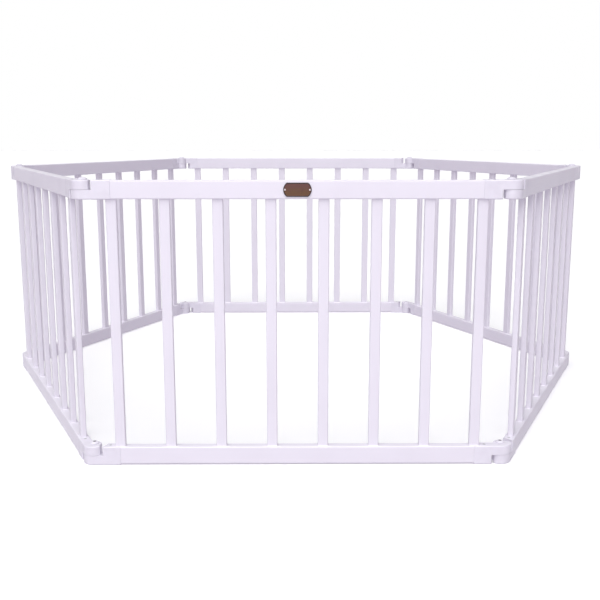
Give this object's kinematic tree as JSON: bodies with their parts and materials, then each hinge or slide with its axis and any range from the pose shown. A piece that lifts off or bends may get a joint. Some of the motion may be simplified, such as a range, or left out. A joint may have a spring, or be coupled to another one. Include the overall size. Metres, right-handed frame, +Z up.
{
  "type": "playpen",
  "caption": "Free-standing hexagonal wooden playpen: equal slatted panels joined edge to edge by pinned knuckle hinges, so that it folds flat.",
  "frame": {"origin": "on the floor, in the middle of the hexagon", "axes": "+X to the right along the front panel, +Y from the front panel to the back panel, +Z up"},
  "size_m": [1.8912, 1.8479, 0.6909],
  "materials": {
    "painted_rail": "opaque white satin paint on solid wood",
    "painted_slat": "opaque white satin paint on solid wood",
    "connector_plastic": "moulded white plastic, satin",
    "pin_plastic": "moulded white plastic, semi-gloss",
    "screw_steel": "zinc plated",
    "nameplate_bronze": "brown bronze lacquer with a darker rim",
    "nail_steel": "plain domed head"
  },
  "bodies": {
    "front_panel": {"front_top_left_connector": "connector_plastic", "front_top_right_connector": "connector_plastic", "front_top_rail": "painted_rail", "front_bottom_left_connector": "connector_plastic", "front_bottom_right_connector": "connector_plastic", "front_bottom_rail": "painted_rail", "front_slats": "painted_slat", "front_hinge_pins": "pin_plastic", "front_connector_screws": "screw_steel", "nameplate": "nameplate_bronze", "nameplate_nails": "nail_steel"},
    "right_front_panel": {"right_front_top_left_connector": "connector_plastic", "right_front_top_right_connector": "connector_plastic", "right_front_top_rail": "painted_rail", "right_front_bottom_left_connector": "connector_plastic", "right_front_bottom_right_connector": "connector_plastic", "right_front_bottom_rail": "painted_rail", "right_front_slats": "painted_slat", "right_front_hinge_pins": "pin_plastic", "right_front_connector_screws": "screw_steel"},
    "right_back_panel": {"right_back_top_left_connector": "connector_plastic", "right_back_top_right_connector": "connector_plastic", "right_back_top_rail": "painted_rail", "right_back_bottom_left_connector": "connector_plastic", "right_back_bottom_right_connector": "connector_plastic", "right_back_bottom_rail": "painted_rail", "right_back_slats": "painted_slat", "right_back_hinge_pins": "pin_plastic", "right_back_connector_screws": "screw_steel"},
    "back_panel": {"back_top_left_connector": "connector_plastic", "back_top_right_connector": "connector_plastic", "back_top_rail": "painted_rail", "back_bottom_left_connector": "connector_plastic", "back_bottom_right_connector": "connector_plastic", "back_bottom_rail": "painted_rail", "back_slats": "painted_slat", "back_hinge_pins": "pin_plastic", "back_connector_screws": "screw_steel"},
    "left_back_panel": {"left_back_top_left_connector": "connector_plastic", "left_back_top_right_connector": "connector_plastic", "left_back_top_rail": "painted_rail", "left_back_bottom_left_connector": "connector_plastic", "left_back_bottom_right_connector": "connector_plastic", "left_back_bottom_rail": "painted_rail", "left_back_slats": "painted_slat", "left_back_hinge_pins": "pin_plastic", "left_back_connector_screws": "screw_steel"},
    "left_front_panel": {"left_front_top_left_connector": "connector_plastic", "left_front_top_right_connector": "connector_plastic", "left_front_top_rail": "painted_rail", "left_front_bottom_left_connector": "connector_plastic", "left_front_bottom_right_connector": "connector_plastic", "left_front_bottom_rail": "painted_rail", "left_front_slats": "painted_slat", "left_front_hinge_pins": "pin_plastic", "left_front_connector_screws": "screw_steel"}
  },
  "joints": [
    {"name": "front_left_hinge", "type": "hinge", "parent": "front_panel", "child": "left_front_panel", "pos_m": [-0.495, -0.89504, 0.34], "axis": [0, 0, 1], "range_deg": [-25, 62]},
    {"name": "left_side_hinge", "type": "hinge", "parent": "left_front_panel", "child": "left_back_panel", "pos_m": [-0.91808, 0, 0.34], "axis": [0, 0, 1], "range_deg": [-124, 50]},
    {"name": "back_left_hinge", "type": "hinge", "parent": "left_back_panel", "child": "back_panel", "pos_m": [-0.495, 0.89504, 0.34], "axis": [0, 0, 1], "range_deg": [-25, 62]},
    {"name": "front_right_hinge", "type": "hinge", "parent": "front_panel", "child": "right_front_panel", "pos_m": [0.495, -0.89504, 0.34], "axis": [0, 0, 1], "range_deg": [-62, 25]},
    {"name": "right_side_hinge", "type": "hinge", "parent": "right_front_panel", "child": "right_back_panel", "pos_m": [0.91808, 0, 0.34], "axis": [0, 0, 1], "range_deg": [-50, 124]}
  ],
  "couplings": [
    {"joint": "left_side_hinge", "follows": "front_left_hinge", "ratio": -2},
    {"joint": "back_left_hinge", "follows": "front_left_hinge", "ratio": 1},
    {"joint": "front_right_hinge", "follows": "front_left_hinge", "ratio": -1},
    {"joint": "right_side_hinge", "follows": "front_left_hinge", "ratio": 2}
  ]
}
